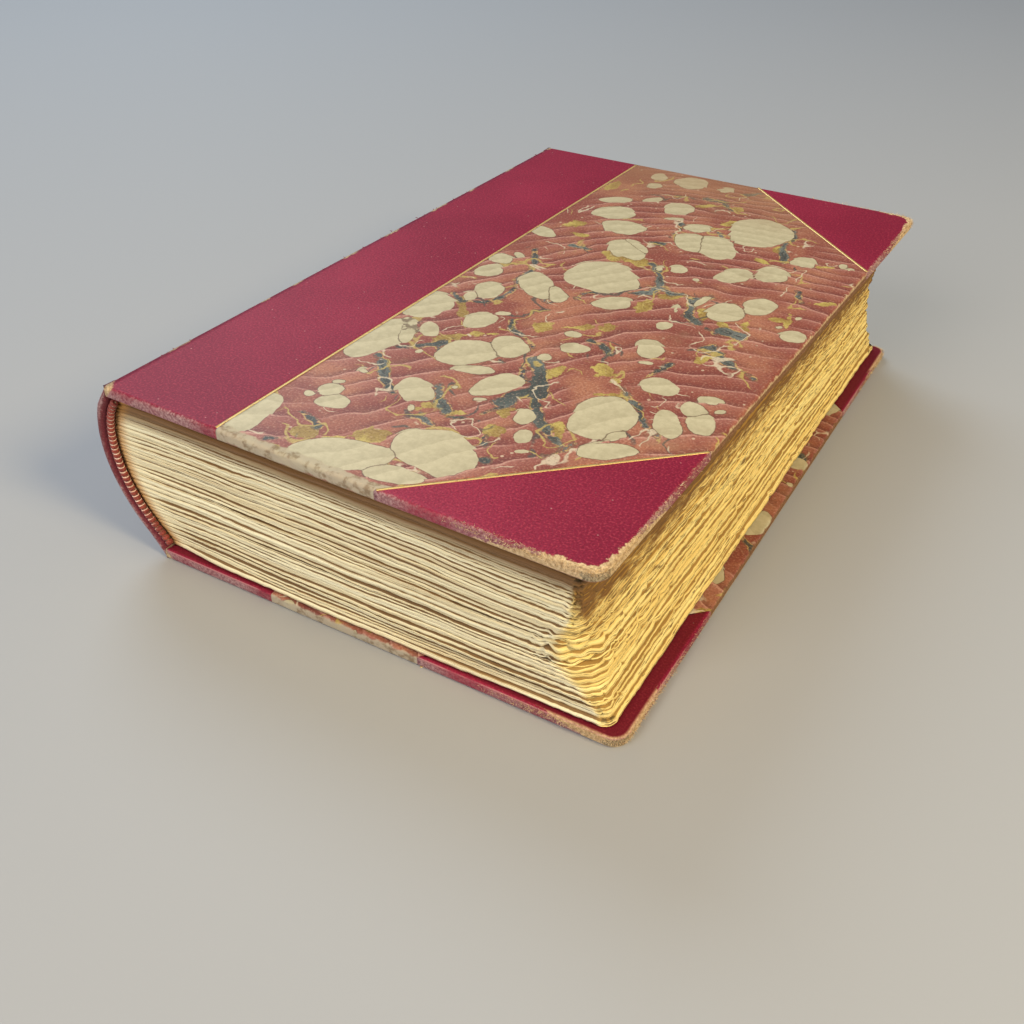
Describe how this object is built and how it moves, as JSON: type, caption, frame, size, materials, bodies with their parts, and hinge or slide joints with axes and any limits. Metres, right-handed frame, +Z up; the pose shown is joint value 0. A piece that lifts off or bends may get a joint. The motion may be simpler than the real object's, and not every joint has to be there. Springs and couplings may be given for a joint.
{
  "type": "antique leather book",
  "caption": "Closed half-leather book lying flat, with marbled sides, leather corners, a rounded spine, rough-edged leaves and two hinged covers.",
  "frame": {"origin": "centre of the lower cover's outer face, on the surface that the book lies on", "axes": "+X from the spine to the fore-edge, +Y from the tail to the head, +Z up"},
  "size_m": [0.1836, 0.2679, 0.065],
  "materials": {
    "leather": "crimson goatskin, fine grain, rubbed pale at the edges",
    "marbled_paper": "marbled paper in red, cream, ochre and grey, dull",
    "gilt": "worn gold leaf line",
    "millboard": "grey-brown millboard",
    "leaves": "cream rag paper with rough uncut edges",
    "endpaper": "plain cream paper",
    "linen": "glued linen and paper",
    "cord": "twisted hemp cord",
    "silk": "rust-red silk winding"
  },
  "bodies": {
    "book_block": {"text_block": "leaves", "front_flyleaf": "endpaper", "back_flyleaf": "endpaper", "spine_leather": "leather", "spine_lining": "linen", "sewing_cords": "cord", "tail_band_core": "cord", "tail_band_silk": "silk", "head_band_core": "cord", "head_band_silk": "silk"},
    "front_cover": {"front_board": "millboard", "front_spine_strip": "leather", "front_corner_tail": "leather", "front_corner_head": "leather", "front_marbled_paper": "marbled_paper", "front_gilt_fillets": "gilt", "front_pastedown": "endpaper"},
    "back_cover": {"back_board": "millboard", "back_spine_strip": "leather", "back_corner_tail": "leather", "back_corner_head": "leather", "back_marbled_paper": "marbled_paper", "back_gilt_fillets": "gilt", "back_pastedown": "endpaper"}
  },
  "joints": [
    {"name": "front_hinge", "type": "hinge", "parent": "book_block", "child": "front_cover", "pos_m": [-0.08469, -0.00384, 0.065], "axis": [-0.0255, -0.9997, 0], "range_deg": [0, 180]},
    {"name": "back_hinge", "type": "hinge", "parent": "book_block", "child": "back_cover", "pos_m": [-0.083, 0, 0], "axis": [0, 1, 0], "range_deg": [0, 180]}
  ]
}
